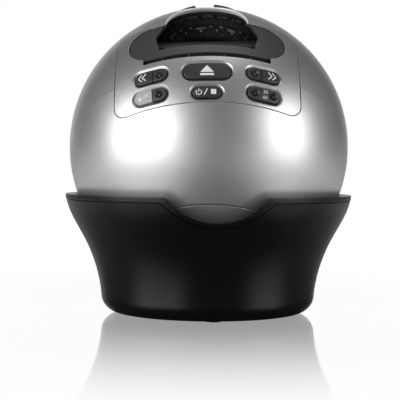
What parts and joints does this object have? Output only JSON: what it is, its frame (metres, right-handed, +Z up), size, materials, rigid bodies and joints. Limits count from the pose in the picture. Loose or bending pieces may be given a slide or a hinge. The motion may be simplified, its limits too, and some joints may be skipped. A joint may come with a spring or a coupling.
{
  "type": "planetarium projector",
  "caption": "Ball-shaped home planetarium with a dial window, key panel, disc drawer and focusing lens, resting in a flared stand.",
  "frame": {"origin": "on the table under the stand's axis", "axes": "+Z up, -Y towards the key panel and the front notch, +X to the viewer's right"},
  "size_m": [0.154, 0.15, 0.1688],
  "materials": {
    "silver_paint": "satin silver metallic paint on moulded shell",
    "stand_black": "satin black moulding",
    "bezel_black": "fine satin black moulding",
    "dial_black": "matt black with white dial printing",
    "liner_black": "matt black",
    "collar_black": "fine textured black",
    "key_black": "satin black with white symbols",
    "key_grey": "light grey key",
    "lens_glass": "coated clear glass",
    "indicator": "unlit dark red indicator",
    "chassis_black": "moulded black",
    "tray_black": "moulded black",
    "gear_white": "natural nylon",
    "film": "dark film with clear dots",
    "screw_steel": "zinc plated",
    "motor_steel": "zinc plated can",
    "sink_alloy": "anodised",
    "board_green": "solder mask",
    "mat_rubber": "silicone",
    "foot_rubber": "soft black rubber",
    "glide_felt": "soft black glide strip"
  },
  "bodies": {
    "stand": {"stand_shell": "stand_black", "cradle_cup": "stand_black", "base_plate": "stand_black", "base_screws": "screw_steel", "rubber_feet": "foot_rubber"},
    "turntable": {"glide_ring": "glide_felt"},
    "ball": {"upper_shell": "silver_paint", "lower_shell": "silver_paint", "bottom_cap": "silver_paint", "cap_screws": "screw_steel", "control_panel": "silver_paint", "dial_bezel": "bezel_black", "window_liner": "liner_black", "time_ring": "dial_black", "lens_guide": "chassis_black", "upper_deck": "chassis_black", "lower_deck": "chassis_black", "deck_pillars": "chassis_black", "chassis_screws": "screw_steel", "tray_guides": "chassis_black", "drive_motor": "motor_steel", "tray_motor": "motor_steel", "lamp_tube": "chassis_black", "condenser_lens": "lens_glass", "lamp_led": "indicator", "heat_sink": "sink_alloy", "main_board": "board_green", "power_inlet": "chassis_black", "keypad_mat": "mat_rubber", "rotate_left_cover": "key_black", "rotate_right_cover": "key_black", "meteor_cover": "key_black", "indicator_lights": "indicator"},
    "date_dial": {"date_ring": "dial_black"},
    "focus_collar": {"focus_ring": "collar_black"},
    "lens_unit": {"lens_barrel": "collar_black", "front_lens": "lens_glass", "rear_lens": "lens_glass", "lens_retainer": "collar_black"},
    "tray": {"disc_tray": "tray_black"},
    "disc": {"disc_gear": "gear_white", "star_disc": "film"},
    "disc_drive": {"drive_pinion": "gear_white"},
    "tray_drive": {"tray_pinion": "gear_white"},
    "eject_button": {"eject_key": "key_black"},
    "power_button": {"power_key": "key_black"},
    "rotate_left_button": {"rotate_left_key": "key_black"},
    "rotate_right_button": {"rotate_right_key": "key_black"},
    "meteor_button": {"meteor_key": "key_grey"},
    "timer_button": {"timer_key": "key_black"}
  },
  "joints": [
    {"name": "turn", "type": "hinge", "parent": "stand", "child": "turntable", "pos_m": [0, 0, 0.0894], "axis": [0, 0, 1], "continuous": true},
    {"name": "tilt", "type": "hinge", "parent": "turntable", "child": "ball", "pos_m": [0, 0, 0.0894], "axis": [-0.997, 0.075, -0.0202], "range_deg": [-33, 46]},
    {"name": "date_spin", "type": "hinge", "parent": "ball", "child": "date_dial", "pos_m": [0, 0, 0.0894], "axis": [0.0244, 0.5495, 0.8352], "continuous": true},
    {"name": "lens_slide", "type": "slide", "parent": "ball", "child": "lens_unit", "axis": [0.0244, 0.5495, 0.8352], "range_m": [-0.003, 0.003]},
    {"name": "focus_turn", "type": "hinge", "parent": "ball", "child": "focus_collar", "pos_m": [0, 0, 0.0894], "axis": [0.0244, 0.5495, 0.8352], "range_deg": [-60.5, 60.5]},
    {"name": "tray_slide", "type": "slide", "parent": "ball", "child": "tray", "axis": [-0.0737, -0.8321, 0.5496], "range_m": [0, 0.1]},
    {"name": "tray_pinion_spin", "type": "hinge", "parent": "ball", "child": "tray_drive", "pos_m": [0.03207, -0.03676, 0.11265], "axis": [0.0244, 0.5495, 0.8352], "range_deg": [-2, 1196]},
    {"name": "disc_spin", "type": "hinge", "parent": "tray", "child": "disc", "pos_m": [0, 0, 0.0894], "axis": [0.0244, 0.5495, 0.8352], "continuous": true},
    {"name": "drive_spin", "type": "hinge", "parent": "ball", "child": "disc_drive", "pos_m": [0.00248, 0.02796, 0.07093], "axis": [0.0244, 0.5495, 0.8352], "continuous": true},
    {"name": "eject_press", "type": "slide", "parent": "ball", "child": "eject_button", "axis": [0.0738, 0.865, -0.4962], "range_m": [0, 0.0006], "stiffness_N_per_m": 400},
    {"name": "power_press", "type": "slide", "parent": "ball", "child": "power_button", "axis": [0.0786, 0.9321, -0.3537], "range_m": [0, 0.0006], "stiffness_N_per_m": 400},
    {"name": "rotate_left_press", "type": "slide", "parent": "ball", "child": "rotate_left_button", "axis": [0.4443, 0.7703, -0.4575], "range_m": [0, 0.0006], "stiffness_N_per_m": 400},
    {"name": "rotate_right_press", "type": "slide", "parent": "ball", "child": "rotate_right_button", "axis": [-0.3054, 0.8266, -0.4727], "range_m": [0, 0.0006], "stiffness_N_per_m": 400},
    {"name": "meteor_press", "type": "slide", "parent": "ball", "child": "meteor_button", "axis": [0.4464, 0.8336, -0.3252], "range_m": [0, 0.0006], "stiffness_N_per_m": 400},
    {"name": "timer_press", "type": "slide", "parent": "ball", "child": "timer_button", "axis": [-0.3033, 0.89, -0.3404], "range_m": [0, 0.0006], "stiffness_N_per_m": 400}
  ],
  "couplings": [
    {"joint": "focus_turn", "follows": "lens_slide", "rad_per_m": 349.07},
    {"joint": "tray_pinion_spin", "follows": "tray_slide", "rad_per_m": 208.33},
    {"joint": "drive_spin", "follows": "disc_spin", "ratio": -6}
  ]
}
